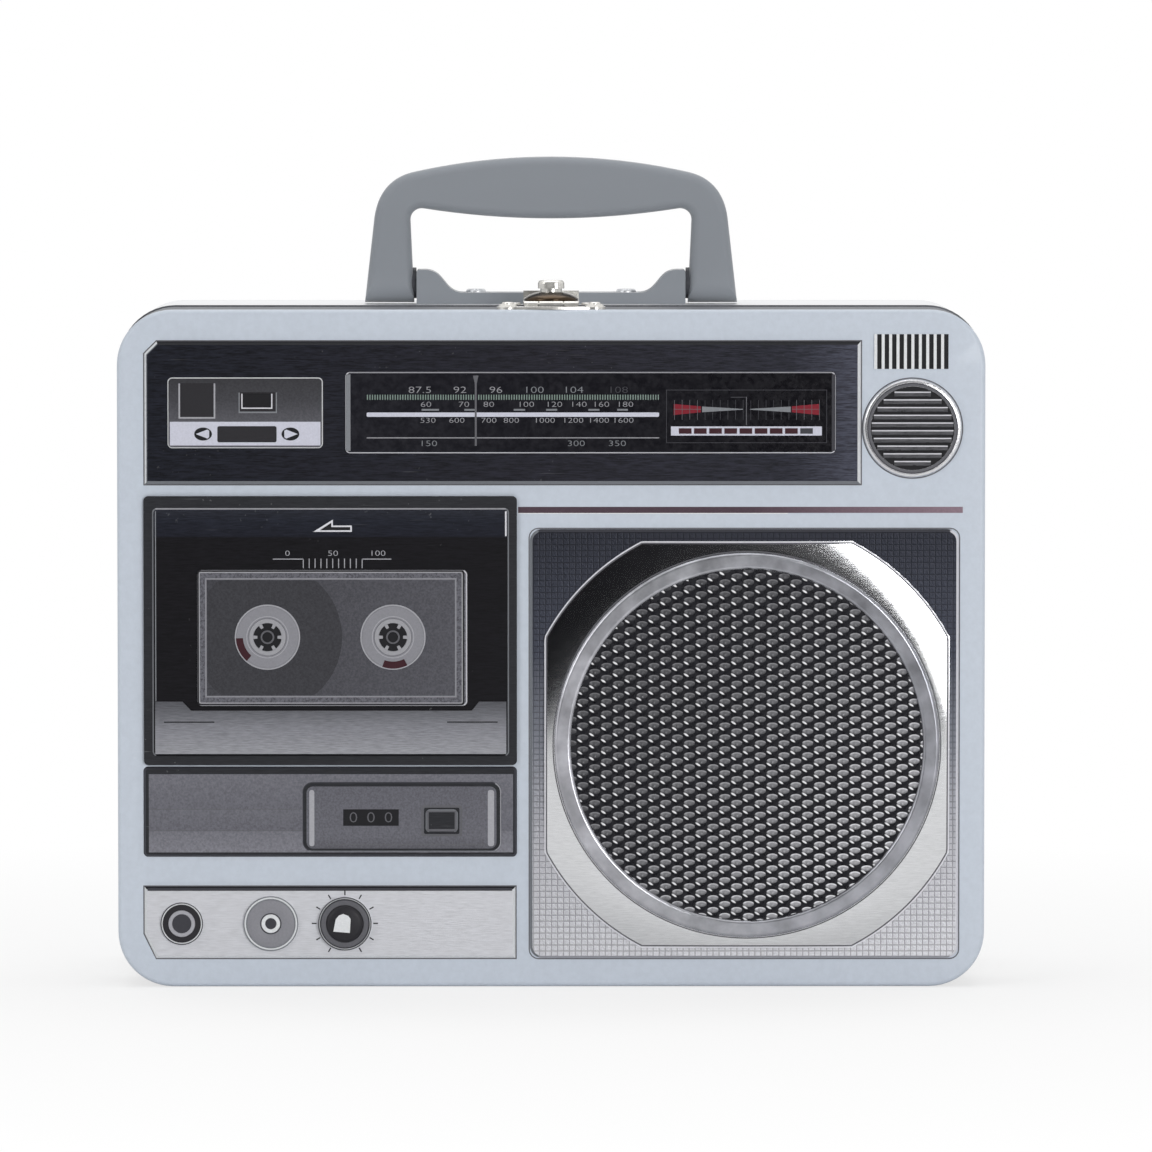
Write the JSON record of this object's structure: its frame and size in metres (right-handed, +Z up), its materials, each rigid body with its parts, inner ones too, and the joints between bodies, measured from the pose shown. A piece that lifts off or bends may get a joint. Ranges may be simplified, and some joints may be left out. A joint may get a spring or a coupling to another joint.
{
  "type": "tin carrying case",
  "caption": "Hinged tin carrying case, its front embossed and printed as a cassette recorder, with a folding handle and a top hasp",
  "frame": {"origin": "middle of the bottom of the closed case", "axes": "X along the width, the printed front faces -Y, Z up"},
  "size_m": [0.2208, 0.085, 0.2099],
  "materials": {
    "printed_tin": "satin paint and print on embossed tin",
    "painted_tin": "satin paint on tin",
    "bare_tin": "bright lacquered tinplate",
    "plated_steel": "zinc plated",
    "grey_plastic": "satin moulded",
    "nickel": "bright nickel plate"
  },
  "bodies": {
    "base": {"base_band": "bare_tin", "back_panel": "painted_tin", "base_hinge_leaves": "plated_steel", "hinge_pins": "plated_steel", "handle_base": "grey_plastic", "handle_rivets": "plated_steel", "handle_washers": "plated_steel", "latch_catch": "nickel", "catch_rivets": "nickel"},
    "lid": {"lid_face_panel": "printed_tin", "lid_band": "bare_tin", "lid_hinge_leaves": "plated_steel", "latch_leaf": "nickel", "latch_leaf_rivets": "nickel", "latch_pin": "nickel"},
    "handle": {"handle": "grey_plastic"},
    "hasp": {"latch_hasp": "nickel", "latch_knob": "nickel"}
  },
  "joints": [
    {"name": "lid_hinge", "type": "hinge", "parent": "base", "child": "lid", "pos_m": [0, -0.0133, 0.0011], "axis": [1, 0, 0], "range_deg": [0, 100]},
    {"name": "handle_pivot", "type": "hinge", "parent": "base", "child": "handle", "pos_m": [0, 0.014, 0.1773], "axis": [1, 0, 0], "range_deg": [-80, 60]},
    {"name": "hasp_hinge", "type": "hinge", "parent": "lid", "child": "hasp", "pos_m": [0, -0.0273, 0.173], "axis": [1, 0, 0], "range_deg": [-1, 120]}
  ]
}
